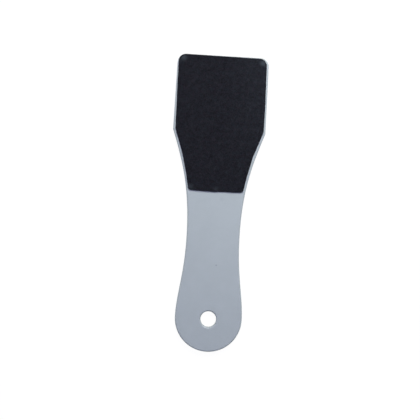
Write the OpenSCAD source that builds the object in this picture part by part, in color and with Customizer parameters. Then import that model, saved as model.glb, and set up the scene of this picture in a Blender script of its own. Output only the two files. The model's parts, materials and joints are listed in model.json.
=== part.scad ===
// Foot file: a one-piece moulded paddle with an abrasive sheet on each face of its head.
// The head points to +Y, the coarse sheet faces +Z and the fine sheet faces -Z.
// The origin is under the middle of the file, on the plane that the fine grit rests on.

/* [Paddle] */
// Overall length, from the handle's round end to the head's tip
body_len = 180; // [160:1:220]
// Thickness of the moulding between its two flat faces
body_t = 4; // [3:0.1:6]
// Radius of the rounding along both edges of the moulding
edge_r = 0.5; // [0.3:0.1:1]

/* [Handle] */
// Width of the handle's round end, across its widest place
bulb_w = 40.7; // [36:0.1:46]
// Width of the grip at its narrowest place
neck_w = 32.1; // [26:0.1:35]
// Distance from the handle's end to the narrowest place
neck_from_end = 70.7; // [64:0.1:80]

/* [Head] */
// Width across the two shoulders, where the head is widest
shoulder_w = 56.2; // [50:0.1:64]
// Distance from the tip to the shoulders
shoulder_from_tip = 45.8; // [38:0.1:52]
// Width of the head at its tip, measured between the two sides
tip_w = 55.4; // [48:0.1:56]
// Radius of the two corners at the tip
tip_corner_r = 5.4; // [4:0.1:10]
// Radius that takes the sharpness off each shoulder
shoulder_r = 2.2; // [2.2:0.1:6]
// Angle of the flare to the file's axis where it meets the shoulder, in degrees
flare_angle = 19; // [15:1:24]

/* [Hanging hole] */
// Diameter of the hole for a hook or a cord
hole_d = 9.5; // [6:0.1:12]
// Distance from the handle's end to the middle of the hole
hole_from_end = 19.9; // [17:0.1:24]
// Width of the chamfer round each mouth of the hole
hole_chamfer = 0.5; // [0.2:0.1:0.8]

/* [Abrasive sheets] */
// Length of each sheet along the file
sheet_len = 82.2; // [66:0.1:88]
// Flat border left bare between the side of a sheet and the paddle's rounded edge
sheet_side_border = 0.7; // [0.4:0.1:1.1]
// Flat border left bare between a sheet and the rounded edge at the tip
sheet_tip_border = 0.1; // [0.1:0.1:1.1]
// Radius of the two corners at a sheet's handle end
sheet_corner_r = 1.1; // [0.5:0.1:3]

/* [Layers of a sheet] */
// Thickness of the adhesive film that holds a sheet on the paddle
adhesive_t = 0.12; // [0.08:0.01:0.3]
// Thickness of the woven backing
backing_t = 0.38; // [0.2:0.01:0.6]
// Thickness of the resin that bonds the grit to the backing
resin_t = 0.1; // [0.06:0.01:0.2]
// Height of the coarse grit above its resin
coarse_grit_t = 0.35; // [0.25:0.01:0.6]
// Height of the fine grit above its resin
fine_grit_t = 0.25; // [0.15:0.01:0.35]

/* [Hidden] */
// How far each curve of the outline leaves its end straight, as shares of the curve's length
grip_bulb_share = 0.29;
grip_neck_share = 0.5;
flare_neck_share = 0.48;
flare_shoulder_share = 0.28;
// Steps along each stretch of the outline, and up each rounded edge
end_steps = 20;
curve_steps = 18;
corner_steps = 8;
shoulder_steps = 4;
edge_steps = 4;
// How far a cutting solid runs past the face that it cuts
overrun = 0.5;

body_color = [0.64, 0.68, 0.72];
adhesive_color = [0.85, 0.83, 0.74];
backing_color = [0.2, 0.19, 0.2];
resin_color = [0.1, 0.09, 0.1];
coarse_color = [0.13, 0.13, 0.16];
fine_color = [0.22, 0.22, 0.24];

// Places along the file's axis
end_y = -body_len / 2;
tip_y = body_len / 2;
bulb_r = bulb_w / 2;
bulb_y = end_y + bulb_r;
neck_y = end_y + neck_from_end;
shoulder_y = tip_y - shoulder_from_tip;
hole_y = end_y + hole_from_end;
hole_r = hole_d / 2;
sheet_inset = edge_r + sheet_side_border;
sheet_tip_y = tip_y - edge_r - sheet_tip_border;
sheet_end_y = sheet_tip_y - sheet_len;

// Heights of the layers, from the fine grit's outer face upwards
fine_resin_z = fine_grit_t;
fine_backing_z = fine_resin_z + resin_t;
fine_adhesive_z = fine_backing_z + backing_t;
body_z = fine_adhesive_z + adhesive_t;
coarse_adhesive_z = body_z + body_t;
coarse_backing_z = coarse_adhesive_z + adhesive_t;
coarse_resin_z = coarse_backing_z + backing_t;
coarse_grit_z = coarse_resin_z + resin_t;

// A heading is the angle from +Y towards +X of the way along the outline, which runs
// from the handle's end up the +X side to the tip.
side_heading = -atan((shoulder_w - tip_w) / 2 / shoulder_from_tip);
tip_heading = -90;
function ahead(heading) = [sin(heading), cos(heading)];
function outward(heading) = [cos(heading), -sin(heading)];

// Length that a rounded corner takes off each of the two lines that meet in it
function corner_cut(r, turn) = r * tan(abs(turn) / 2);

// Points round a corner of radius r, set in from the corner by a border of the given width
function corner(at, from, to, r, inset, steps) =
    let (start = at - corner_cut(r, to - from) * ahead(from), centre = start - r * outward(from))
    [for (i = [0:steps]) centre + (r - inset) * outward(from + (to - from) * i / steps)];

// A curve between two points that leaves each in a set direction
function curve_at(p, t) =
    pow(1 - t, 3) * p[0] + 3 * pow(1 - t, 2) * t * p[1] + 3 * (1 - t) * pow(t, 2) * p[2] + pow(t, 3) * p[3];
function curve_slope(p, t) =
    pow(1 - t, 2) * (p[1] - p[0]) + 2 * (1 - t) * t * (p[2] - p[1]) + pow(t, 2) * (p[3] - p[2]);
function curve_inset(p, t, inset) =
    let (slope = curve_slope(p, t))
    curve_at(p, t) - inset * outward(atan2(slope[0], slope[1]));

// The place on a curve at a given height along the file, found by halving
function curve_find(p, y, inset, low = 0, high = 1, halvings = 24) =
    let (middle = (low + high) / 2)
    halvings == 0 ? middle
    : curve_inset(p, middle, inset)[1] < y ? curve_find(p, y, inset, middle, high, halvings - 1)
    : curve_find(p, y, inset, low, middle, halvings - 1);

// The handle's side, from the round end's widest place to the neck
grip_len = neck_y - bulb_y;
grip_curve = [
    [bulb_r, bulb_y],
    [bulb_r, bulb_y + grip_bulb_share * grip_len],
    [neck_w / 2, neck_y - grip_neck_share * grip_len],
    [neck_w / 2, neck_y]
];

// The flare, from the neck to the start of the shoulder's rounding
shoulder_corner = [shoulder_w / 2, shoulder_y];
tip_corner = [tip_w / 2, tip_y];
flare_len = shoulder_y - neck_y;
flare_end = shoulder_corner - corner_cut(shoulder_r, flare_angle - side_heading) * ahead(flare_angle);
flare_curve = [
    [neck_w / 2, neck_y],
    [neck_w / 2, neck_y + flare_neck_share * flare_len],
    flare_end - flare_shoulder_share * flare_len * ahead(flare_angle),
    flare_end
];

// The head's side, from the shoulder's rounding to the end of the tip's corner
function head_side(inset) = concat(
    corner(shoulder_corner, flare_angle, side_heading, shoulder_r, inset, shoulder_steps),
    corner(tip_corner, side_heading, tip_heading, tip_corner_r, inset, corner_steps)
);

// The +X side of the paddle's outline, moved in by inset. Its first point is on the axis.
function body_side(inset) = concat(
    [for (i = [0:end_steps]) [0, bulb_y] + (bulb_r - inset) * outward(90 * (1 - i / end_steps))],
    [for (i = [1:curve_steps]) curve_inset(grip_curve, i / curve_steps, inset)],
    [for (i = [1:curve_steps - 1]) curve_inset(flare_curve, i / curve_steps, inset)],
    head_side(inset)
);

// The +X side of a sheet's outline: it follows the paddle's, and is cut straight at its handle end.
// The whole outline then moves to the tip by the difference between the two borders.
sheet_shift = sheet_side_border - sheet_tip_border;
sheet_cut_y = sheet_end_y - sheet_shift;
sheet_cut_t = curve_find(flare_curve, sheet_cut_y, sheet_inset);
sheet_first_t = curve_find(flare_curve, sheet_cut_y + 2 * sheet_corner_r, sheet_inset);
function sheet_side() =
    let (
        slope = curve_slope(flare_curve, sheet_cut_t),
        heading = atan2(slope[0], slope[1]),
        corner_at = [curve_inset(flare_curve, sheet_cut_t, sheet_inset)[0], sheet_cut_y]
    )
    [for (p = concat(
        corner(corner_at, -tip_heading, heading, sheet_corner_r, 0, shoulder_steps),
        [for (i = [0:curve_steps - 1])
            curve_inset(flare_curve, sheet_first_t + (1 - sheet_first_t) * i / curve_steps, sheet_inset)],
        head_side(sheet_inset)
    )) p + [0, sheet_shift]];

// A whole outline from its +X side
function both_sides(side) =
    concat(side, [for (i = [len(side) - 1:-1:0]) if (side[i][0] > 0) [-side[i][0], side[i][1]]]);

// A slab whose outline draws in round its two edges: each ring is an inset and a height.
// Its flat faces are laid in strips that cross the slab from side to side.
module rounded_slab(rings) {
    outlines = [for (ring = rings) both_sides(body_side(ring[0]))];
    count = len(outlines[0]);
    side_count = (count + 1) / 2;
    last = len(rings) - 1;
    points = [for (k = [0:last]) for (p = outlines[k]) [p[0], p[1], rings[k][1]]];
    walls = [for (k = [0:last - 1]) for (i = [0:count - 1])
        let (next = (i + 1) % count)
        [k * count + i, (k + 1) * count + i, (k + 1) * count + next, k * count + next]];
    strips = concat([[0, 1, count - 1]],
        [for (i = [1:side_count - 2]) [i, i + 1, count - i - 1, count - i]]);
    roof = [for (strip = strips) [for (i = [len(strip) - 1:-1:0]) last * count + strip[i]]];
    polyhedron(points, concat(walls, strips, roof), convexity = 6);
}

// The hole with its two chamfered mouths, as the solid that cuts it
module hole_cutter() {
    mouth_h = hole_chamfer + overrun;
    mouth_r = hole_r + mouth_h;
    translate([0, hole_y, -overrun]) {
        cylinder(r = hole_r, h = body_t + 2 * overrun, $fn = 64);
        cylinder(r1 = mouth_r, r2 = hole_r, h = mouth_h, $fn = 64);
        translate([0, 0, body_t + 2 * overrun - mouth_h])
            cylinder(r1 = hole_r, r2 = mouth_r, h = mouth_h, $fn = 64);
    }
}

module sheet_layer(t) {
    linear_extrude(height = t) polygon(both_sides(sheet_side()));
}

module paddle_body() {
    rise = [for (i = [0:edge_steps]) 90 * i / edge_steps];
    lower = [for (a = rise) [edge_r * (1 - sin(a)), edge_r * (1 - cos(a))]];
    upper = [for (i = [edge_steps:-1:0]) [lower[i][0], body_t - lower[i][1]]];
    color(body_color) translate([0, 0, body_z]) difference() {
        rounded_slab(concat(lower, upper));
        hole_cutter();
    }
}

module fine_grit_layer() {
    color(fine_color) sheet_layer(fine_grit_t);
}

module fine_resin_coat() {
    color(resin_color) translate([0, 0, fine_resin_z]) sheet_layer(resin_t);
}

module fine_backing_sheet() {
    color(backing_color) translate([0, 0, fine_backing_z]) sheet_layer(backing_t);
}

module fine_adhesive_film() {
    color(adhesive_color) translate([0, 0, fine_adhesive_z]) sheet_layer(adhesive_t);
}

module coarse_adhesive_film() {
    color(adhesive_color) translate([0, 0, coarse_adhesive_z]) sheet_layer(adhesive_t);
}

module coarse_backing_sheet() {
    color(backing_color) translate([0, 0, coarse_backing_z]) sheet_layer(backing_t);
}

module coarse_resin_coat() {
    color(resin_color) translate([0, 0, coarse_resin_z]) sheet_layer(resin_t);
}

module coarse_grit_layer() {
    color(coarse_color) translate([0, 0, coarse_grit_z]) sheet_layer(coarse_grit_t);
}

paddle_body();
coarse_adhesive_film();
coarse_backing_sheet();
coarse_resin_coat();
coarse_grit_layer();
fine_adhesive_film();
fine_backing_sheet();
fine_resin_coat();
fine_grit_layer();
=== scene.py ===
import json
import math

import bpy
import numpy as np
from mathutils.geometry import delaunay_2d_cdt
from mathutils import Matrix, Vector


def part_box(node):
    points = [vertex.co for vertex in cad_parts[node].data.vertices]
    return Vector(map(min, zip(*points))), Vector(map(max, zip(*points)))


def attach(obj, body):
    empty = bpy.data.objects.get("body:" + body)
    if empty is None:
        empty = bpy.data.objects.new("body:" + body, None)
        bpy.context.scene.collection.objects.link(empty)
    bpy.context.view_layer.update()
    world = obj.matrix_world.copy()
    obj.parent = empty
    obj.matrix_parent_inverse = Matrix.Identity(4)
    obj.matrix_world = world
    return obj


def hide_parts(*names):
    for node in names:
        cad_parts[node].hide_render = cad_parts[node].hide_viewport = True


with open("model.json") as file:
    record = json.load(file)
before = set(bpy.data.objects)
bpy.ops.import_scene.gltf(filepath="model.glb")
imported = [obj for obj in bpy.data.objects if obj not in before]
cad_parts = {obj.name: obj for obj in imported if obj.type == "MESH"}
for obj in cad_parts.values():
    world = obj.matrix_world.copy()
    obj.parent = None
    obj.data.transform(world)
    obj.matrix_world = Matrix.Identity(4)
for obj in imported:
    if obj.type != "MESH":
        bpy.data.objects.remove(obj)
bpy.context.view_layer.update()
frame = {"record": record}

MM = 0.001
RIGHT_ANGLE = math.pi / 2


def flat_box(node):
    """Lowest and highest corner of a CAD node, as arrays."""
    low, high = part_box(node)
    return np.array(low), np.array(high)


# The paddle's outline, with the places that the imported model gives
BODY_LOW, BODY_HIGH = flat_box("paddle_body")
END_Y = BODY_LOW[1]
TIP_Y = BODY_HIGH[1]
BULB_R = 20.35 * MM
NECK_HALF = 16.1 * MM
NECK_FROM_END = 70.7 * MM
SHOULDER_HALF = 28.1 * MM
SHOULDER_FROM_TIP = 45.8 * MM
SHOULDER_R = 2.2 * MM
TIP_HALF = 27.7 * MM
TIP_CORNER_R = 5.4 * MM
FLARE_ANGLE = math.radians(19)
GRIP_BULB_SHARE = 0.29
GRIP_NECK_SHARE = 0.5
FLARE_NECK_SHARE = 0.48
FLARE_SHOULDER_SHARE = 0.28
END_STEPS = 48
CURVE_STEPS = 48
CORNER_STEPS = 16
SHOULDER_STEPS = 8

# The paddle's edges: rounded, with the fine ridge that the mould's two halves leave between them
EDGE_R = 1.0 * MM
TIP_EDGE_R = 0.4 * MM
TIP_EDGE_START_Y = 80 * MM
TIP_EDGE_FULL_Y = 85 * MM
EDGE_STEPS = 8
RIDGE_H = 0.03 * MM
RIDGE_W = 0.16 * MM
FLAT_START = 0.15 * MM
FACE_GRID = 4 * MM

# The hanging hole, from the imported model's mount
HOLE = next(mount for mount in frame["record"]["mounts"] if mount["name"] == "hang_hole")
HOLE_AT = np.array(HOLE["pos_m"][:2])
HOLE_R = HOLE["dims"]["r_mm"] * MM
HOLE_RIM_R = 1.0 * MM
HOLE_STEPS = 64

# The sheets: their borders follow the paddle's outline
SHEET_LOW, SHEET_HIGH = flat_box("coarse_grit_layer")
SHEET_INSET = 1.2 * MM
SHEET_CORNER_R = 2.5 * MM

# How far inside the planned line the coarse sheet is really cut, in mm at places in mm along the
# part or across it, as the photograph shows
CUT_LEFT = ((10, -0.07), (14, -0.15), (18, 0.0), (22, -0.05), (26, 0.03), (30, 0.12), (36, 0.12),
            (42, 0.0), (46, 0.28), (50, 0.1), (58, 0.06), (62, -0.05), (66, -0.2), (72, -0.3),
            (78, -0.35), (82, -0.4), (86, -0.5), (88, -0.75))
CUT_RIGHT = ((10, 0.1), (22, 0.15), (26, 0.2), (30, 0.42), (35, 0.15), (42, 0.0), (46, 0.0),
             (52, -0.15), (60, -0.25), (70, -0.15), (80, -0.05), (86, 0.08))
CUT_END = ((-14, 0.28), (-10, 0.17), (-5, 0.06), (0, 0.0), (1.5, 0.2), (6, 0.32), (10, 0.26),
           (14, 0.42))
CUT_TIP = ((-26, -0.53), (-15, -0.43), (0, -0.28), (10, -0.22), (26, -0.1))

# The photograph's frame: a point on the part's axis and the axis's turn, found in its pixels
PHOTO_SIDE_PX = 420
PHOTO_AXIS_PX = (215.22, 200.0)
PHOTO_TURN = math.radians(3.356)
PX = 0.60667 * MM
AXIS_SHIFT_PX = 3.93
CAMERA_DISTANCE = 0.7
SENSOR_W = 36.0


def on_part(x_px, y_px):
    """The place on the part, in metres, of a pixel of the photograph."""
    right = x_px - PHOTO_AXIS_PX[0]
    down = y_px - PHOTO_AXIS_PX[1]
    across = right * math.cos(PHOTO_TURN) + down * math.sin(PHOTO_TURN)
    along = right * math.sin(PHOTO_TURN) - down * math.cos(PHOTO_TURN)
    return np.array([across * PX, (along + AXIS_SHIFT_PX) * PX])


# Outlines

# Two places no farther apart than this, in metres, are the same place
SAME_PLACE = 1e-7


def ahead(heading):
    """Unit step along a heading, which is an angle from +Y towards +X."""
    return np.stack([np.sin(heading), np.cos(heading)], axis=-1)


def outward(heading):
    """Unit step to the right of a heading. It points out of the part on its +X side."""
    return np.stack([np.cos(heading), -np.sin(heading)], axis=-1)


def spokes(turns):
    """Unit steps at angles from +X towards +Y."""
    return np.column_stack([np.cos(turns), np.sin(turns)])


def arc(centre, radius, start, stop, steps):
    """Points and headings round an arc."""
    headings = np.linspace(start, stop, steps + 1)
    return np.array(centre) + radius * outward(headings), headings


def corner(at, before, after, radius, steps):
    """Points and headings of the rounding between two straight stretches."""
    cut = radius * math.tan(abs(after - before) / 2)
    centre = np.array(at) - cut * ahead(before) - radius * outward(before)
    return arc(centre, radius, before, after, steps)


def curve(controls, steps):
    """Points and headings along a cubic curve."""
    t = np.linspace(0, 1, steps + 1)[:, None]
    a, b, c, d = np.array(controls)
    points = a * (1 - t) ** 3 + 3 * b * t * (1 - t) ** 2 + 3 * c * t ** 2 * (1 - t) + d * t ** 3
    slopes = (b - a) * (1 - t) ** 2 + 2 * (c - b) * t * (1 - t) + (d - c) * t ** 2
    return points, np.arctan2(slopes[:, 0], slopes[:, 1])


def joined(*stretches):
    """Several stretches as one, without a point that repeats the one before it."""
    points = np.concatenate([stretch[0] for stretch in stretches])
    headings = np.concatenate([stretch[1] for stretch in stretches])
    gaps = np.linalg.norm(np.diff(points, axis=0), axis=1)
    kept = np.concatenate([[True], gaps > SAME_PLACE])
    return points[kept], headings[kept]


def set_in(stretch, inset):
    """A stretch moved into the part."""
    points, headings = stretch
    return points - inset * outward(headings), headings


def both_sides(side):
    """A whole outline, anticlockwise from its handle end, as points and outward directions."""
    points, headings = side
    facing = outward(headings)
    mirrored = points[::-1] * (-1, 1), facing[::-1] * (-1, 1)
    off_axis = mirrored[0][:, 0] < -SAME_PLACE
    return (np.concatenate([points, mirrored[0][off_axis]]),
            np.concatenate([facing, mirrored[1][off_axis]]))


BULB_Y = END_Y + BULB_R
NECK_Y = END_Y + NECK_FROM_END
SHOULDER_Y = TIP_Y - SHOULDER_FROM_TIP
SIDE_HEADING = -math.atan((SHOULDER_HALF - TIP_HALF) / SHOULDER_FROM_TIP)
GRIP_LEN = NECK_Y - BULB_Y
FLARE_LEN = SHOULDER_Y - NECK_Y


def grip_curve():
    """The handle's side, from its round end's widest place to the neck."""
    return curve([
        (BULB_R, BULB_Y),
        (BULB_R, BULB_Y + GRIP_BULB_SHARE * GRIP_LEN),
        (NECK_HALF, NECK_Y - GRIP_NECK_SHARE * GRIP_LEN),
        (NECK_HALF, NECK_Y),
    ], CURVE_STEPS)


def flare_curve():
    """The side between the neck and the shoulder's rounding."""
    cut = SHOULDER_R * math.tan((FLARE_ANGLE - SIDE_HEADING) / 2)
    end = np.array([SHOULDER_HALF, SHOULDER_Y]) - cut * ahead(FLARE_ANGLE)
    return curve([
        (NECK_HALF, NECK_Y),
        (NECK_HALF, NECK_Y + FLARE_NECK_SHARE * FLARE_LEN),
        end - FLARE_SHOULDER_SHARE * FLARE_LEN * ahead(FLARE_ANGLE),
        end,
    ], CURVE_STEPS)


def head_side():
    """The head's side, from the shoulder's rounding to the end of the tip's corner."""
    shoulder = corner((SHOULDER_HALF, SHOULDER_Y), FLARE_ANGLE, SIDE_HEADING, SHOULDER_R, SHOULDER_STEPS)
    tip = corner((TIP_HALF, TIP_Y), SIDE_HEADING, -RIGHT_ANGLE, TIP_CORNER_R, CORNER_STEPS)
    return joined(shoulder, tip)


def body_outline():
    """The paddle's outline."""
    end = arc((0, BULB_Y), BULB_R, RIGHT_ANGLE, 0, END_STEPS)
    return both_sides(joined(end, grip_curve(), flare_curve(), head_side()))


def sheet_outline():
    """A sheet's outline: the paddle's, moved in, cut straight at the handle and moved to the tip."""
    shift = np.array([0, SHEET_HIGH[1] - (TIP_Y - SHEET_INSET)])
    cut_y = SHEET_LOW[1] - shift[1]
    points, headings = set_in(flare_curve(), SHEET_INSET)
    cut_at = (np.interp(cut_y, points[:, 1], points[:, 0]), cut_y)
    cut_heading = np.interp(cut_y, points[:, 1], headings)
    rounding = corner(cut_at, RIGHT_ANGLE, cut_heading, SHEET_CORNER_R, SHOULDER_STEPS)
    above = points[:, 1] > rounding[0][-1, 1]
    side = joined(rounding, (points[above], headings[above]), set_in(head_side(), SHEET_INSET))
    return both_sides((side[0] + shift, side[1]))


# The higher this is, the closer to a corner an end's cut gives way to a side's
END_SHARPNESS = 4


def cut_inset(places, facing, mirrored):
    """How far inside its planned outline a sheet is cut, at places on that outline."""
    x = places[:, 0] / MM * (-1 if mirrored else 1)
    y = places[:, 1] / MM
    left, right, end, tip = (
        np.interp(along, *zip(*table))
        for along, table in ((y, CUT_LEFT), (y, CUT_RIGHT), (x, CUT_END), (x, CUT_TIP))
    )
    endwise = facing[:, 1] ** END_SHARPNESS
    at_ends = np.where(facing[:, 1] < 0, end, tip)
    at_sides = np.where(x < 0, left, right)
    return MM * (at_ends * endwise + at_sides * (1 - endwise))


def cut_outline(mirrored, spacing):
    """A sheet's outline as it was cut, with evenly spaced points."""
    points, facing = respaced(sheet_outline(), spacing)
    return points - cut_inset(points, facing, mirrored)[:, None] * facing, facing


def perimeter_run(points):
    """Distance along a closed outline up to each of its points, and round it all."""
    steps = np.linalg.norm(np.roll(points, -1, axis=0) - points, axis=1)
    return np.concatenate([[0], np.cumsum(steps)])


def respaced(outline, spacing):
    """The same outline with evenly spaced points."""
    points, facing = outline
    run = perimeter_run(points)
    count = round(run[-1] / spacing)
    at = np.arange(count) * run[-1] / count
    closed = [np.vstack([values, values[:1]]) for values in (points, facing)]
    points, facing = (
        np.column_stack([np.interp(at, run, values[:, k]) for k in (0, 1)]) for values in closed
    )
    return points, facing / np.linalg.norm(facing, axis=1)[:, None]


def depth(places, loop):
    """How far inside a loop each place is. It is negative outside."""
    nearest = np.full(len(places), np.inf)
    inside = np.zeros(len(places), bool)
    for start, stop in zip(loop, np.roll(loop, -1, axis=0)):
        way = stop - start
        share = np.clip((places - start) @ way / (way @ way), 0, 1)
        nearest = np.minimum(nearest, np.linalg.norm(places - start - share[:, None] * way, axis=1))
        level = (start[1] > places[:, 1]) != (stop[1] > places[:, 1])
        rise = way[1] if way[1] else 1.0
        inside ^= level & (places[:, 0] < start[0] + (places[:, 1] - start[1]) / rise * way[0])
    return np.where(inside, nearest, -nearest)


# Meshes

MAP_GAP = 1 * MM
STRIP_TOLERANCE = 1e-6

# The triangle maker's tolerance in mm, and its setting that keeps only what the loops enclose
TRIANGLE_TOLERANCE = 1e-7
INSIDE_LOOPS = 1


def neighbours(count):
    """The numbers round a ring, and for each the next one's."""
    near = np.arange(count)
    return near, np.roll(near, -1)


class Layout:
    """Where a plate's faces lie on its texture map: two flat views side by side, then its walls
    in upright strips. One side of the map is as long as the plate."""

    def __init__(self, low, high, wall_h, wall_run):
        self.low = np.array(low[:2])
        self.width = high[0] - low[0] + MAP_GAP
        self.strip_len = high[1] - low[1]
        self.strip_w = wall_h + MAP_GAP
        strips = math.ceil(wall_run / self.strip_len)
        self.side = max(2 * self.width + strips * self.strip_w, self.strip_len) + 2 * MAP_GAP

    def flat(self, points, view):
        """Map places of points seen from above, in the first or the second flat view."""
        return (points[..., :2] - self.low + (MAP_GAP + view * self.width, MAP_GAP)) / self.side

    def wall(self, run, rise):
        """Map places of wall faces, by each corner's distance along the wall and up it."""
        strip = np.floor(run.min(axis=1, keepdims=True) / self.strip_len + STRIP_TOLERANCE)
        across = MAP_GAP + 2 * self.width + strip * self.strip_w + rise
        return np.stack([across, MAP_GAP + run - strip * self.strip_len], axis=-1) / self.side


class Shell:
    """Gathers a closed mesh: its points, its faces, and where each face lies on the map."""

    def __init__(self):
        self.points = []
        self.faces = []
        self.places = []
        self.count = 0

    def add_points(self, points):
        """Adds points and returns their numbers."""
        numbers = np.arange(len(points)) + self.count
        self.points.append(np.asarray(points, float))
        self.count += len(points)
        return numbers

    def add_faces(self, faces, places):
        """Adds faces, with the map place of each of their corners."""
        self.faces.append(faces)
        self.places.append(places.reshape(-1, 2))

    def at(self, numbers):
        """The points with these numbers."""
        return np.concatenate(self.points)[numbers]

    def build(self, name, smooth):
        """The finished object."""
        mesh = bpy.data.meshes.new(name)
        faces = [face for group in self.faces for face in group.tolist()]
        mesh.from_pydata(np.concatenate(self.points).tolist(), [], faces)
        mesh.uv_layers.new(name="OFBake").data.foreach_set("uv", np.concatenate(self.places).ravel())
        mesh.polygons.foreach_set("use_smooth", np.full(len(faces), smooth))
        mesh.update()
        made = bpy.data.objects.new(name, mesh)
        bpy.context.scene.collection.objects.link(made)
        return made


def store(made, name, domain, values):
    """Keeps a value for each point or face of a mesh, for its material to read."""
    made.data.attributes.new(name, "FLOAT", domain).data.foreach_set("value", values)


def lifted(points, z):
    """Flat points at a height, or each at its own height."""
    return np.column_stack([points, np.broadcast_to(z, len(points))])


def triangles_between(rims, others=()):
    """Triangles over the inside of the first rim, less the inside of each later rim. The corners
    are numbered through the rims in turn and then the other points."""
    points = np.concatenate([*rims, np.reshape(others, (-1, 2))])
    loops = []
    start = 0
    for rim in rims:
        turned = np.cross(rim, np.roll(rim, -1, axis=0)).sum() < 0
        loop = list(range(start, start + len(rim)))
        loops.append(loop[::-1] if turned else loop)
        start += len(rim)
    in_mm = [tuple(point / MM) for point in points]
    made = delaunay_2d_cdt(in_mm, [], loops, INSIDE_LOOPS, TRIANGLE_TOLERANCE, True)
    _, _, faces, point_origins, _, face_origins = made
    number = np.array([origin[0] for origin in point_origins])
    wanted = [face for face, origin in zip(faces, face_origins) if list(origin) == [0]]
    return number[np.array(wanted)]


def add_walls(shell, rings, layout, rise, first_run=0.0):
    """Joins rings of points, each above the one before, into a wall. Rise is each ring's
    distance up the wall. Returns the rings' point numbers, and how far the map's strips are used."""
    numbers = np.array([shell.add_points(ring) for ring in rings])
    run = first_run + perimeter_run(rings[0][:, :2])
    near, after = neighbours(len(rings[0]))
    for k in range(len(rings) - 1):
        low, high = numbers[k], numbers[k + 1]
        faces = np.column_stack([low[near], low[after], high[after], high[near]])
        along = np.column_stack([run[:-1], run[1:], run[1:], run[:-1]])
        up = np.broadcast_to([rise[k], rise[k], rise[k + 1], rise[k + 1]], along.shape)
        shell.add_faces(faces, layout.wall(along, up))
    return numbers, run[-1]


def add_face(shell, rims, layout, upper, others=()):
    """Closes a flat side between rims, which are lists of point numbers. The others are the
    numbers of the points inside it."""
    points = shell.at(np.concatenate([*rims, np.array(others, int)]))
    loops = np.split(points[:, :2], np.cumsum([len(rim) for rim in rims]))
    corners = triangles_between(loops[:-1], loops[-1])
    if not upper:
        corners = corners[:, ::-1]
    numbers = np.concatenate([*rims, np.array(others, int)])
    shell.add_faces(numbers[corners], layout.flat(points[corners], 0 if upper else 1))


def profile_rise(profile):
    """Distance up a wall's profile to each of its rings, at the outline's first place."""
    inset, height = profile
    return np.concatenate([[0], np.cumsum(np.hypot(np.diff(inset[:, 0]), np.diff(height[:, 0])))])


# The paddle

# The ridge's rings: how far each lies across the ridge, as a share of its width, and whether it
# lies at the ridge's foot
RIDGE_RINGS = ((-0.5, 1), (-0.2, 0), (0.2, 0), (0.5, 1))


def rounded_profile(radius, thickness, ridge):
    """A wall's profile from one flat to the other, for the radius at each place of an outline: the
    distances in from the outline and the heights, with a row for each ring of the wall."""
    level = np.zeros(len(radius))
    turn = np.linspace(0, RIGHT_ANGLE, EDGE_STEPS + 1)[:, None]
    lower_in = ridge + radius * (1 - np.sin(turn))
    lower_z = radius * (1 - np.cos(turn))
    flat_in = [ridge + radius + FLAT_START]
    seam = RIDGE_RINGS if ridge else ()
    seam_in = [foot * ridge + level for _, foot in seam]
    seam_z = [thickness / 2 + share * RIDGE_W + level for share, _ in seam]
    inset = [*flat_in, *lower_in, *seam_in, *lower_in[::-1], *flat_in]
    height = [level, *lower_z, *seam_z, *(thickness - lower_z[::-1]), thickness + level]
    return np.array(inset), np.array(height)


def face_grid(rims):
    """Points spread evenly over the paddle's flat faces, clear of their rims."""
    across, along = (math.floor(reach / FACE_GRID) for reach in BODY_HIGH[:2])
    x, y = np.meshgrid(np.arange(-across, across + 1), np.arange(-along, along + 1))
    x, y = x * FACE_GRID, y * FACE_GRID
    x = x + (np.arange(len(x)) % 2)[:, None] * FACE_GRID / 2
    spots = np.column_stack([x.ravel(), y.ravel()])
    clear = (depth(spots, rims[0]) > FACE_GRID / 2) & (depth(spots, rims[1]) < -FACE_GRID / 2)
    return spots[clear]


def edge_wall(thickness):
    """The wall round the paddle, with the mould's ridge: its rings of points, the distance up it
    to each, and its length."""
    points, facing = body_outline()
    radius = np.interp(points[:, 1], (TIP_EDGE_START_Y, TIP_EDGE_FULL_Y), (EDGE_R, TIP_EDGE_R))
    profile = rounded_profile(radius, thickness, RIDGE_H)
    rings = [lifted(points - inset[:, None] * facing, BODY_LOW[2] + z) for inset, z in zip(*profile)]
    return rings, profile_rise(profile), perimeter_run(points)[-1]


def hole_wall(thickness):
    """The wall of the hole: its rings of points, the distance up it to each, and its length."""
    facing = spokes(np.linspace(0, -2 * math.pi, HOLE_STEPS, endpoint=False))
    profile = rounded_profile(np.full(HOLE_STEPS, HOLE_RIM_R), thickness, 0)
    rings = [
        lifted(HOLE_AT + (HOLE_R + inset[:, None]) * facing, BODY_LOW[2] + z)
        for inset, z in zip(*profile)
    ]
    return rings, profile_rise(profile), 2 * math.pi * (HOLE_R + HOLE_RIM_R)


def make_paddle():
    """The moulding: flat faces, rounded edges with the mould's ridge, and the hole."""
    thickness = BODY_HIGH[2] - BODY_LOW[2]
    outer, outer_rise, outer_len = edge_wall(thickness)
    bore, bore_rise, bore_len = hole_wall(thickness)
    wall_h = max(outer_rise[-1], bore_rise[-1])
    layout = Layout(BODY_LOW, BODY_HIGH, wall_h, outer_len + bore_len)
    shell = Shell()
    outside, used = add_walls(shell, outer, layout, outer_rise)
    hole, _ = add_walls(shell, bore, layout, bore_rise, used)
    spots = face_grid((outer[0][:, :2], bore[0][::-1, :2]))
    for ring, z in ((0, BODY_LOW[2]), (-1, BODY_HIGH[2])):
        inside = shell.add_points(lifted(spots, z))
        add_face(shell, (outside[ring], hole[ring]), layout, ring == -1, inside)
    made = shell.build("paddle_moulding", True)
    edge = np.zeros(shell.count)
    edge[outside[1:-1].ravel()] = 1
    edge[hole[1:-1].ravel()] = 1
    store(made, "edge", "POINT", edge)
    return made


# The grit

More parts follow.
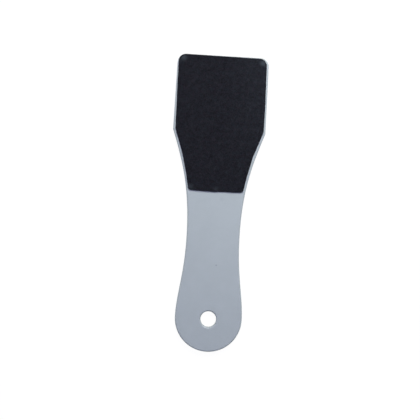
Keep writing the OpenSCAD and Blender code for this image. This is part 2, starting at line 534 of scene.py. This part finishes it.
# Worn patches of the coarse sheet: the pixel in the photograph, the radius in mm and the strength
PATCHES = (
    (184.0, 57.5, 1.8, 0.8),
    (263.2, 63.5, 2.0, 0.9),
    (190.0, 186.5, 1.6, 0.5),
    (216.0, 189.0, 1.5, 0.35),
    (250.0, 110.0, 1.3, 0.2),
)
NO_PATCHES = ()
# Painted light: the sheet is painted paler towards the tip's right side, by this share at the tip's
# right corner, rising over this distance from the axis
TIP_SIDE_LIGHT_SHARE = 0.155
TIP_SIDE_LIGHT_W = 28 * MM


def wear_and_light_at(places, patches):
    """How pale the sheet is painted at each place, from 0 to 1: a little towards the tip's right side,
    which is painted light, and more in patches rubbed pale."""
    tipward = np.clip(places[:, 1] / TIP_Y, 0, 1)
    edgeward = np.clip(places[:, 0] / TIP_SIDE_LIGHT_W, 0, 1)
    wear_and_light = TIP_SIDE_LIGHT_SHARE * edgeward * tipward
    for x_px, y_px, radius_mm, strength in patches:
        gap = np.linalg.norm(places - on_part(x_px, y_px), axis=1)
        wear_and_light = np.maximum(wear_and_light, strength * np.exp(-(gap / (radius_mm * MM)) ** 2))
    return wear_and_light


GRAIN_PITCH = 0.42 * MM
RIM_SPACING_SHARE = 0.6
SEED_JITTER_SHARE = 0.38
SEED_GAP_SHARE = 0.3
NICK = 0.05 * MM
NICK_LIMIT = 0.2 * MM
PEAK_REACH_SHARES = (0.1, 0.7)
RIM_SHARES = (0.05, 0.5)
WEAR_DEPTH_SHARE = 0.45


def nicked(outline, draw):
    """A cut edge: the outline with small random nicks."""
    points, facing = outline
    nicks = np.minimum(draw.exponential(NICK, len(points)), NICK_LIMIT)
    return points - nicks[:, None] * facing


def seed_places(rim, low, high, draw):
    """The places of the grains: random, but evenly dense, and clear of the rim."""
    x, y = (np.arange(low[k], high[k], GRAIN_PITCH) for k in (0, 1))
    x, y = np.meshgrid(x, y)
    spots = np.column_stack([x.ravel(), y.ravel()])
    spots = spots + draw.uniform(-SEED_JITTER_SHARE, SEED_JITTER_SHARE, spots.shape) * GRAIN_PITCH
    return spots[depth(spots, rim) > SEED_GAP_SHARE * GRAIN_PITCH]


class Crush:
    """Crushed grains side by side inside a rim. Each grain's cell has its corners in the middles
    of the triangles between seeds, and rises to a crooked ridge between the grain's two peaks.
    A point's number counts through the rim, the first peaks, the second peaks and the corners."""

    def __init__(self, rim, seeds, draw):
        places = np.concatenate([rim, seeds])
        triangles = triangles_between([rim], seeds)
        self.owner = triangles.ravel()
        self.stop = np.roll(triangles, -1, axis=1).ravel()
        self.triangle = np.repeat(np.arange(len(triangles)), 3)
        self.corners = places[triangles].mean(axis=1)
        self.rim = rim
        self.twin = self.find_twins(len(places))
        self.inner = self.twin >= 0
        middle = self.edge_middles()
        gap = np.linalg.norm(middle - places[self.owner], axis=1)
        reach = np.full(len(places), np.inf)
        np.minimum.at(reach, self.owner[self.inner], gap[self.inner])
        lean = spokes(draw.uniform(0, 2 * math.pi, len(places))) * reach[:, None]
        first, second = draw.uniform(*PEAK_REACH_SHARES, (2, len(seeds), 1))
        self.first = seeds + first * lean[len(rim):]
        self.second = seeds - second * lean[len(rim):]
        across = ((middle - places[self.owner]) * lean[self.owner]).sum(axis=1)
        grain = self.owner >= len(rim)
        self.top = self.owner + np.where(grain & (across < 0), len(seeds), 0)
        self.first_corner = len(rim) + 2 * len(seeds)

    def find_twins(self, count):
        """For each side of each triangle, the same side of the triangle beyond it, or -1."""
        key = self.owner * count + self.stop
        order = np.argsort(key)
        wanted = self.stop * count + self.owner
        found = np.minimum(np.searchsorted(key, wanted, sorter=order), len(key) - 1)
        return np.where(key[order[found]] == wanted, order[found], -1)

    def edge_middles(self):
        """The middle of the cell's edge that crosses each triangle's side."""
        return (self.corners[self.triangle] + self.corners[self.triangle[self.twin]]) / 2

    def groups(self):
        """All places, as the rim, both groups of peaks and the corners."""
        return [self.rim, self.first, self.second, self.corners]

    def faces(self):
        """The triangles over all cells, and each one's grain."""
        corner = self.first_corner + self.triangle
        beyond = self.first_corner + self.triangle[self.twin]
        slopes = np.column_stack([self.top, beyond, corner])[self.inner]
        edge = np.column_stack([self.owner, self.stop, corner])[~self.inner]
        before = self.twin[3 * self.triangle + (np.arange(len(self.owner)) + 2) % 3]
        crossing = (self.owner >= len(self.rim)) & (self.top != self.top[before])
        ends = np.column_stack([corner, self.top[before], self.top])[crossing]
        grain = [self.owner[self.inner], self.owner[~self.inner], self.owner[crossing]]
        return np.concatenate([slopes, edge, ends]), np.concatenate(grain)


def grain_heights(crush, valley, peak, wear_and_light, height, draw):
    """How high each point of the grit stands. The highest reaches the layer's full height."""
    spans = (RIM_SHARES, peak, peak, valley)
    shares = [draw.uniform(*span, len(group)) for span, group in zip(spans, crush.groups())]
    shares = np.concatenate(shares) * (1 - WEAR_DEPTH_SHARE * wear_and_light)
    return shares / shares.max() * height


def add_grit_faces(shell, tops, foot, rise, layout, up):
    """Adds the grains, the flat side behind them and the cut wall between. Returns how many of
    these faces belong to no grain."""
    rim = shell.at(foot)[:, :2]
    run = perimeter_run(rim)
    under = foot[triangles_between([rim])][:, ::-1]
    near, after = neighbours(len(rim))
    level = np.zeros(len(rim))
    wall = np.column_stack([foot[near], foot[after], after, near])
    wall_run = np.column_stack([run[:-1], run[1:], run[1:], run[:-1]])
    wall_rise = np.column_stack([level, level, rise[after], rise[near]])
    for faces, mapped in (
        (tops, layout.flat(shell.at(tops), 0)),
        (under, layout.flat(shell.at(under), 1)),
        (wall, layout.wall(wall_run, wall_rise)),
    ):
        if not up:
            faces, mapped = faces[:, ::-1], mapped[:, ::-1]
        shell.add_faces(faces, mapped)
    return len(under) + len(wall)


EVEN_TONE = 0.5


def make_grit(name, node, up, valley, peak, seed, patches):
    """A sheet's grit as one closed mesh. Valley and peak are the ranges of the low and the high
    points, as shares of the layer's height."""
    draw = np.random.default_rng(seed)
    low, high = flat_box(node)
    height = high[2] - low[2]
    base = low[2] if up else high[2]
    rim = nicked(cut_outline(not up, RIM_SPACING_SHARE * GRAIN_PITCH), draw)
    crush = Crush(rim, seed_places(rim, low, high, draw), draw)
    places = np.concatenate(crush.groups())
    # Painted light and wear: a pale share that rises towards the tip's right side as painted light, and
    # in rubbed patches
    wear_and_light = wear_and_light_at(places, patches)
    rise = grain_heights(crush, valley, peak, wear_and_light, height, draw)
    tops, grain = crush.faces()
    kept, tops = np.unique(tops, return_inverse=True)
    places, rise, wear_and_light = places[kept], rise[kept], wear_and_light[kept]

    shell = Shell()
    shell.add_points(lifted(places, base + rise * (1 if up else -1)))
    foot = shell.add_points(lifted(rim, base))
    layout = Layout(low, high, height, perimeter_run(rim)[-1])
    others = add_grit_faces(shell, tops.reshape(-1, 3), foot, rise, layout, up)
    made = shell.build(name, False)
    tone = draw.uniform(0, 1, grain.max() + 1)[grain]
    store(made, "tone", "FACE", np.concatenate([tone, np.full(others, EVEN_TONE)]))
    store(made, "wear_and_light", "POINT", np.concatenate([wear_and_light, wear_and_light[:len(rim)]]))
    return made


# The layers under the grit

LAYER_SPACING = 0.1 * MM
WANDER_PHASE = 1.0


def make_layer(name, node, edge, mirrored):
    """A thin layer of a sheet. Edge gives the insets of its cut edge at each height, for the runs
    along it, as rows of one ring each."""
    low, high = flat_box(node)
    points, facing = cut_outline(mirrored, LAYER_SPACING)
    run = perimeter_run(points)
    insets = edge(run[:-1])
    heights = np.linspace(low[2], high[2], len(insets))
    rings = [lifted(points - inset[:, None] * facing, z) for inset, z in zip(insets, heights)]
    layout = Layout(low, high, high[2] - low[2], run[-1])
    shell = Shell()
    numbers, _ = add_walls(shell, rings, layout, heights - low[2])
    add_face(shell, (numbers[0],), layout, False)
    add_face(shell, (numbers[-1],), layout, True)
    return shell.build(name, True)


def wander(run, reach, lengths):
    """A slow uneven wave along an edge, from minus its reach to its reach."""
    return reach * np.sin(run / lengths[0]) * np.sin(run / lengths[1] + WANDER_PHASE)


FILM_BACK = 0.1 * MM
FILM_BULGE = np.array([0.05, 0.0, 0.05]) * MM
FILM_WANDER = 0.03 * MM
FILM_WANDER_LENGTHS = (2.1 * MM, 0.9 * MM)


def film_edge(run):
    """The adhesive's edge: a smooth bead, a little behind the backing's."""
    return FILM_BACK + wander(run, FILM_WANDER, FILM_WANDER_LENGTHS) + FILM_BULGE[:, None]


THREAD = 0.42 * MM
THREAD_H = 0.025 * MM
THREAD_ROWS = (0.05, 0.5, 0.5, -0.5, -0.5, 0.05)
THREAD_BACKS = np.array([0.03, 0.01, 0.0, 0.0, 0.01, 0.03]) * MM


def woven_edge(run):
    """The backing's edge: cut threads side by side, in two rows that alternate."""
    ends = np.sin(2 * math.pi * run / THREAD)
    return np.array([
        back + THREAD_H * (1 + 2 * row * ends) for row, back in zip(THREAD_ROWS, THREAD_BACKS)
    ])


RESIN_ROUNDING = np.array([0.02, 0.0, 0.0, 0.03]) * MM
RESIN_WANDER = 0.02 * MM
RESIN_WANDER_LENGTHS = (1.3 * MM, 0.47 * MM)


def resin_edge(run):
    """The resin's edge: rounded, with slow runs where it set."""
    runs = RESIN_WANDER + wander(run, RESIN_WANDER, RESIN_WANDER_LENGTHS)
    return runs + RESIN_ROUNDING[:, None]


# Materials

# Each material's values stand above it. A noise is given as its feature size, detail and
# roughness, a relief as its height and strength, and anything else as a range from low to high.
# Most of a noise lies in the first range here, and its middle part in the second.
NOISE_RANGE = (0.3, 0.7)
MIDDLE_RANGE = (0.35, 0.65)


def set_input(tree, socket, value):
    """Gives an input another node's output, or a number or a colour of its own."""
    if isinstance(value, bpy.types.NodeSocket):
        tree.links.new(value, socket)
    else:
        socket.default_value = value


def add_node(tree, kind, values=None, settings=None):
    """A node with its inputs set, to numbers or to other nodes' outputs, and its settings."""
    made = tree.nodes.new(kind)
    for name, value in (settings or {}).items():
        setattr(made, name, value)
    for name, value in (values or {}).items():
        set_input(tree, made.inputs[name], value)
    return made


def new_material(name, **even):
    """A material with the shader values that are the same all over. Returns it, its node tree and
    its shader."""
    made = bpy.data.materials.new(name)
    made.use_nodes = True
    shader = made.node_tree.nodes["Principled BSDF"]
    for socket, value in even.items():
        shader.inputs[socket.replace("_", " ")].default_value = value
    return made, made.node_tree, shader


def here(tree):
    """The place on the part, in metres."""
    return add_node(tree, "ShaderNodeTexCoord").outputs["Object"]


def noise(tree, size, detail, roughness):
    """A noise from 0 to 1 with features of about this size in metres."""
    values = {"Vector": here(tree), "Scale": 1 / size, "Detail": detail, "Roughness": roughness}
    return add_node(tree, "ShaderNodeTexNoise", values).outputs["Fac"]


def spread(tree, value, low, high, to_low, to_high):
    """Maps a value's range onto another, held at its ends."""
    values = {"Value": value, "From Min": low, "From Max": high, "To Min": to_low, "To Max": to_high}
    return add_node(tree, "ShaderNodeMapRange", values).outputs["Result"]


# A colour mix node's own sockets: its share, its two colours and its result
MIX_INPUTS = (0, 6, 7)
MIX_OUTPUT = 2


def blend(tree, share, first, second):
    """A colour between two colours."""
    made = add_node(tree, "ShaderNodeMix", settings={"data_type": "RGBA"})
    for socket, value in zip(MIX_INPUTS, (share, first, second)):
        if isinstance(value, tuple):
            value = (*value, 1)
        set_input(tree, made.inputs[socket], value)
    return made.outputs[MIX_OUTPUT]


def calculate(tree, operation, first, second):
    """One sum on two values."""
    made = add_node(tree, "ShaderNodeMath", settings={"operation": operation})
    for socket, value in zip(made.inputs, (first, second)):
        set_input(tree, socket, value)
    return made.outputs[0]


def stored(tree, name):
    """A value stored on the mesh."""
    return add_node(tree, "ShaderNodeAttribute", settings={"attribute_name": name}).outputs["Fac"]


def bump(tree, shader, height, distance, strength):
    """Relief finer than the mesh."""
    values = {"Height": height, "Distance": distance, "Strength": strength}
    normal = add_node(tree, "ShaderNodeBump", values).outputs["Normal"]
    tree.links.new(normal, shader.inputs["Normal"])


def spot(tree, place, radius, soft):
    """1 inside a round spot on the upper face and 0 outside it, with a soft edge."""
    at = {"Vector": here(tree), "Location": (*place, BODY_HIGH[2])}
    moved = add_node(tree, "ShaderNodeMapping", at, {"vector_type": "TEXTURE"}).outputs["Vector"]
    gap = add_node(tree, "ShaderNodeVectorMath", {0: moved}, {"operation": "LENGTH"}).outputs["Value"]
    return spread(tree, gap, radius, radius * (1 + soft), 1.0, 0.0)


MOTTLE = (9 * MM, 4.0, 0.6)
SPARK = (0.35 * MM, 2.0, 0.6)
SPARK_TONE_SHARE = 0.25
SPARK_RELIEF = (0.012 * MM, 0.35)
SHEEN = (4 * MM, 3.0, 0.5)
PLASTIC_TONE_RANGE = (0.4, 0.85)
PLASTIC_ROUGHNESS = (0.5, 0.6)
RUBBED_EDGE_SHARE = 0.1
RUBBED_RELIEF_SHARE = 0.25

# Fine specks, at random: their spacing, their inner and outer radius as shares of it, and the
# range of draws from which a speck shows
SPECK_SPACING = 7 * MM
SPECK_R_SHARES = (0.015, 0.03)
SPECK_DRAWS = (0.8, 0.85)
FINE_SPECK_SHARE = 0.5

# The one large speck and the scuff, with each one's pixel, radius, and soft rim as a share of it
SPECK_PX = (216.2, 265.3)
SPECK_R = 0.3 * MM
SPECK_SOFT = 1.2
SPECK_SHARE = 0.55
SCUFF_PX = (222.0, 199.0)
SCUFF_R = 0.7 * MM
SCUFF_SOFT = 1.5
SCUFF_SHARE = 0.12

PLASTIC_DARK = (0.299, 0.350, 0.371)
PLASTIC_LIGHT = (0.318, 0.371, 0.393)
PLASTIC_RUBBED = (0.36, 0.40, 0.45)
SPECK_COLOUR = (0.16, 0.18, 0.21)
SCUFF_COLOUR = (0.20, 0.22, 0.25)


def marked(tree, colour):
    """The plastic's colour with its few dark specks and a faint scuff."""
    values = {"Vector": here(tree), "Scale": 1 / SPECK_SPACING}
    cells = add_node(tree, "ShaderNodeTexVoronoi", values).outputs
    rare = add_node(tree, "ShaderNodeSeparateColor", {"Color": cells["Color"]}).outputs["Red"]
    close = spread(tree, cells["Distance"], *SPECK_R_SHARES, 1.0, 0.0)
    shown = spread(tree, rare, *SPECK_DRAWS, 0.0, FINE_SPECK_SHARE)
    large = spot(tree, on_part(*SPECK_PX), SPECK_R, SPECK_SOFT)
    specks = calculate(tree, "MAXIMUM", calculate(tree, "MULTIPLY", close, shown), large)
    colour = blend(tree, calculate(tree, "MULTIPLY", specks, SPECK_SHARE), colour, SPECK_COLOUR)
    scuff = spot(tree, on_part(*SCUFF_PX), SCUFF_R, SCUFF_SOFT)
    return blend(tree, calculate(tree, "MULTIPLY", scuff, SCUFF_SHARE), colour, SCUFF_COLOUR)


def moulded_plastic():
    """Matt grey-blue plastic: faint mottling, the mould's spark-eroded grain, edges rubbed smooth
    and a few specks."""
    made, tree, shader = new_material("moulded_plastic", IOR=1.49)
    mottle = noise(tree, *MOTTLE)
    grain = noise(tree, *SPARK)
    edge = stored(tree, "edge")
    tone = calculate(tree, "ADD", mottle, calculate(tree, "MULTIPLY", grain, SPARK_TONE_SHARE))
    share = spread(tree, tone, *PLASTIC_TONE_RANGE, 0.0, 1.0)
    colour = blend(tree, share, PLASTIC_DARK, PLASTIC_LIGHT)
    rubbed = calculate(tree, "MULTIPLY", edge, RUBBED_EDGE_SHARE)
    colour = blend(tree, rubbed, colour, PLASTIC_RUBBED)
    tree.links.new(marked(tree, colour), shader.inputs["Base Color"])
    rough = spread(tree, noise(tree, *SHEEN), *NOISE_RANGE, *PLASTIC_ROUGHNESS)
    tree.links.new(calculate(tree, "SUBTRACT", rough, rubbed), shader.inputs["Roughness"])
    left = spread(tree, edge, 0.0, 1.0, 1.0, RUBBED_RELIEF_SHARE)
    bump(tree, shader, calculate(tree, "MULTIPLY", grain, left), *SPARK_RELIEF)
    return made


DUST = (3 * MM, 5.0, 0.65)
DUST_RANGE = (0.45, 0.75)
DUST_SHARE = 0.14
TINT = (1.8 * MM, 3.0, 0.7)
FLECK_DETAIL = (2.0, 0.7)
FLECK_SHARE = 0.3
GRAIN_TONES = (-0.2, 0.9)
PALE_MASK_SHARES = (0.75, 1.0)
FACET_RELIEF = (0.05 * MM, 0.35)
GRIT_ROUGHNESS = (0.5, 0.7)


def grit_material(name, grain_size, dark, tints, pale):
    """Crushed grains in resin: each grain its own tone, small facets, a drift between two tints, pale
    rubbed patches, and painted light that makes the grit a little paler towards the tip's right side."""
    made, tree, shader = new_material(name, IOR=1.5, Specular_IOR_Level=0.1)
    tone = stored(tree, "tone")
    dust = noise(tree, *DUST)
    fleck = calculate(tree, "MULTIPLY", noise(tree, grain_size, *FLECK_DETAIL), FLECK_SHARE)
    share = calculate(tree, "ADD", spread(tree, tone, 0.0, 1.0, *GRAIN_TONES), fleck)
    drift = spread(tree, noise(tree, *TINT), *MIDDLE_RANGE, 0.0, 1.0)
    colour = blend(tree, share, dark, blend(tree, drift, *tints))
    colour = blend(tree, spread(tree, dust, *DUST_RANGE, 0.0, DUST_SHARE), colour, pale)
    # Painted light and wear: the stored share, broken up by the dust, blends the grit towards the pale
    # colour, as painted light towards the tip's right side and in rubbed patches
    rubbed = spread(tree, dust, *MIDDLE_RANGE, *PALE_MASK_SHARES)
    wear_and_light_share = calculate(tree, "MULTIPLY", stored(tree, "wear_and_light"), rubbed)
    tree.links.new(blend(tree, wear_and_light_share, colour, pale), shader.inputs["Base Color"])
    tree.links.new(spread(tree, tone, 0.0, 1.0, *GRIT_ROUGHNESS), shader.inputs["Roughness"])
    facets = add_node(tree, "ShaderNodeTexVoronoi", {"Vector": here(tree), "Scale": 1 / grain_size})
    bump(tree, shader, facets.outputs["Distance"], *FACET_RELIEF)
    return made


# A wave texture at scale 1 has this many bands to the metre
WAVE_BANDS = 10 / math.pi
FIBRE = (0.08 * MM, 3.0, 0.7)
WEAVE_RELIEF = (0.03 * MM, 0.6)
CLOTH_ROUGHNESS = (0.7, 0.95)
CLOTH_DARK = (0.010, 0.010, 0.012)
CLOTH_PALE = (0.055, 0.054, 0.060)


def woven_backing():
    """Black resin-filled cloth, seen at its cut edge: crossing threads with paler cut ends."""
    made, tree, shader = new_material("woven_backing", Sheen_Weight=0.15)
    values = {"Vector": here(tree), "Scale": 1 / (WAVE_BANDS * THREAD), "Distortion": 1.5, "Detail": 2.0}
    waves = [
        add_node(tree, "ShaderNodeTexWave", values, {"bands_direction": way}).outputs["Fac"]
        for way in ("X", "Y")
    ]
    threads = calculate(tree, "MAXIMUM", *waves)
    fibre = noise(tree, *FIBRE)
    colour = blend(tree, calculate(tree, "MULTIPLY", threads, fibre), CLOTH_DARK, CLOTH_PALE)
    tree.links.new(colour, shader.inputs["Base Color"])
    tree.links.new(spread(tree, fibre, *NOISE_RANGE, *CLOTH_ROUGHNESS), shader.inputs["Roughness"])
    bump(tree, shader, calculate(tree, "ADD", threads, fibre), *WEAVE_RELIEF)
    return made


RUNS = (0.7 * MM, 3.0, 0.55)
RUNS_RELIEF = (0.02 * MM, 0.4)
RESIN_ROUGHNESS = (0.35, 0.6)
RESIN_DARK = (0.007, 0.007, 0.009)
RESIN_PALE = (0.016, 0.016, 0.021)


def resin_bond():
    """Dark set resin: dull with glossier runs."""
    made, tree, shader = new_material("resin_bond", IOR=1.55, Specular_IOR_Level=0.4)
    runs = noise(tree, *RUNS)
    tree.links.new(blend(tree, runs, RESIN_DARK, RESIN_PALE), shader.inputs["Base Color"])
    tree.links.new(spread(tree, runs, *NOISE_RANGE, *RESIN_ROUGHNESS), shader.inputs["Roughness"])
    bump(tree, shader, runs, *RUNS_RELIEF)
    return made


FILM_DUST = (0.5 * MM, 4.0, 0.6)
FILM_DUST_RANGE = (0.35, 0.7)
FILM_DUST_RELIEF = (0.02 * MM, 0.3)
FILM_ROUGHNESS = (0.35, 0.65)
FILM_CLEAN = (0.42, 0.39, 0.31)
FILM_DUSTY = (0.20, 0.19, 0.17)


def adhesive_film():
    """Pressure-sensitive film, dusty and dull where its edge is open."""
    made, tree, shader = new_material("adhesive_film", IOR=1.47)
    dust = noise(tree, *FILM_DUST)
    colour = blend(tree, spread(tree, dust, *FILM_DUST_RANGE, 0.0, 1.0), FILM_CLEAN, FILM_DUSTY)
    tree.links.new(colour, shader.inputs["Base Color"])
    tree.links.new(spread(tree, dust, *NOISE_RANGE, *FILM_ROUGHNESS), shader.inputs["Roughness"])
    bump(tree, shader, dust, *FILM_DUST_RELIEF)
    return made


FLOOR_COLOUR = (0.05, 0.05, 0.05, 1)
FLOOR_GLOW = 0.965


def pale_floor():
    """A plain white table and wall. Most of their brightness is a glow of their own, so that they
    read as the photograph's bare white without a shadow."""
    made, _, shader = new_material("pale_floor", Roughness=0.9, Specular_IOR_Level=0.1)
    shader.inputs["Base Color"].default_value = FLOOR_COLOUR
    shader.inputs["Emission Color"].default_value = (1, 1, 1, 1)
    shader.inputs["Emission Strength"].default_value = FLOOR_GLOW
    return made


# Camera, floor and light

def add_camera():
    """The photograph's view: straight down, with the part's axis turned in the frame."""
    middle = PHOTO_SIDE_PX / 2
    data = bpy.data.cameras.new("camera")
    data.sensor_width = SENSOR_W
    data.lens = SENSOR_W * CAMERA_DISTANCE / (PHOTO_SIDE_PX * PX)
    camera = bpy.data.objects.new("camera", data)
    camera.location = (*on_part(middle, middle), BODY_HIGH[2] + CAMERA_DISTANCE)
    camera.rotation_euler = (0, 0, PHOTO_TURN)
    bpy.context.scene.collection.objects.link(camera)
    bpy.context.scene.camera = camera


# The table's rim, where it curves up into the wall, in metres
COVE_START = 0.5
COVE_IN = 2.4
COVE_R = 0.35
COVE_TOP = 0.75
COVE_BENDS = 12
COVE_SIDES = 96


def add_floor():
    """A wide round table under the part, whose rim curves up into a low wall all round."""
    bend = np.linspace(0, RIGHT_ANGLE, COVE_BENDS + 1)
    reach = np.concatenate([[COVE_START], COVE_IN + COVE_R * np.sin(bend), [COVE_IN + COVE_R]])
    height = np.concatenate([[0.0], COVE_R * (1 - np.cos(bend)), [COVE_TOP]])
    facing = spokes(np.linspace(0, 2 * math.pi, COVE_SIDES, endpoint=False))
    rings = [lifted(r * facing, z) for r, z in zip(reach, height)]
    near, after = neighbours(COVE_SIDES)
    faces = [near.tolist()]
    for k in range(len(rings) - 1):
        low, high = k * COVE_SIDES, (k + 1) * COVE_SIDES
        faces += np.column_stack([low + near, high + near, high + after, low + after]).tolist()
    mesh = bpy.data.meshes.new("floor")
    mesh.from_pydata(np.concatenate(rings).tolist(), [], faces)
    mesh.polygons.foreach_set("use_smooth", np.ones(len(faces), bool))
    floor = bpy.data.objects.new("floor", mesh)
    floor.data.materials.append(pale_floor())
    bpy.context.scene.collection.objects.link(floor)


# Each lamp's place and size in metres, power in watts and colour
LAMPS = (
    ("key", (0.07, 0.35, 0.42), 0.3, 3.95, (0.99, 0.975, 0.905)),
    ("overhead", (0.0, 0.0, 0.9), 0.6, 3.12, (0.67, 0.615, 1.0)),
)
ROOM_COLOUR = (0.8, 0.8, 1.0, 1)
ROOM_STRENGTH = 0.02


def add_lamp(name, place, size, watts, colour):
    """A square soft light that faces the part."""
    data = bpy.data.lights.new(name, "AREA")
    data.size = size
    data.energy = watts
    data.color = colour
    lamp = bpy.data.objects.new(name, data)
    lamp.location = place
    x, y, z = place
    lamp.rotation_euler = (math.atan2(math.hypot(x, y), z), 0, math.atan2(x, -y))
    bpy.context.scene.collection.objects.link(lamp)


def add_lights():
    """A warm soft light from beyond the tip, a cooler one overhead and the room's faint light."""
    for lamp in LAMPS:
        add_lamp(*lamp)
    world = bpy.data.worlds.new("room")
    world.use_nodes = True
    room = world.node_tree.nodes["Background"]
    room.inputs["Color"].default_value = ROOM_COLOUR
    room.inputs["Strength"].default_value = ROOM_STRENGTH
    bpy.context.scene.world = world
    bpy.context.scene.view_settings.view_transform = "Standard"


# The part

def dress(piece, node, material):
    """Gives a piece its material and its place in the frame."""
    piece.data.materials.append(material)
    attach(piece, "root")
    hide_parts(node)


add_camera()
add_floor()
add_lights()

dress(make_paddle(), "paddle_body", moulded_plastic())

# Each grit's grain size and its tones: the dark one, the two tints and the pale one
COARSE_LOOK = (
    0.2 * MM,
    (0.0023, 0.0025, 0.0046),
    ((0.0089, 0.0132, 0.0190), (0.0139, 0.0113, 0.0184)),
    (0.036, 0.046, 0.056),
)
FINE_LOOK = (
    0.12 * MM,
    (0.0160, 0.0165, 0.0195),
    ((0.0215, 0.0235, 0.0275), (0.0235, 0.0228, 0.0280)),
    (0.055, 0.058, 0.070),
)

# Each grit's ranges of low and high points, its seed and its worn patches
COARSE_GRAINS = ((0.4, 0.6), (0.65, 1.0), 11, PATCHES)
FINE_GRAINS = ((0.1, 0.6), (0.3, 0.8), 12, NO_PATCHES)

coarse = grit_material("coarse_grit", *COARSE_LOOK)
fine = grit_material("fine_grit", *FINE_LOOK)
coarse_grains = make_grit("coarse_grains", "coarse_grit_layer", True, *COARSE_GRAINS)
fine_grains = make_grit("fine_grains", "fine_grit_layer", False, *FINE_GRAINS)
dress(coarse_grains, "coarse_grit_layer", coarse)
dress(fine_grains, "fine_grit_layer", fine)

LAYERS = (
    ("resin", "resin_coat", resin_edge, resin_bond()),
    ("backing", "backing_sheet", woven_edge, woven_backing()),
    ("adhesive", "adhesive_film", film_edge, adhesive_film()),
)
for side in ("coarse", "fine"):
    for slot, layer, edge_shape, material in LAYERS:
        node = side + "_" + layer
        dress(make_layer(side + "_" + slot, node, edge_shape, side == "fine"), node, material)
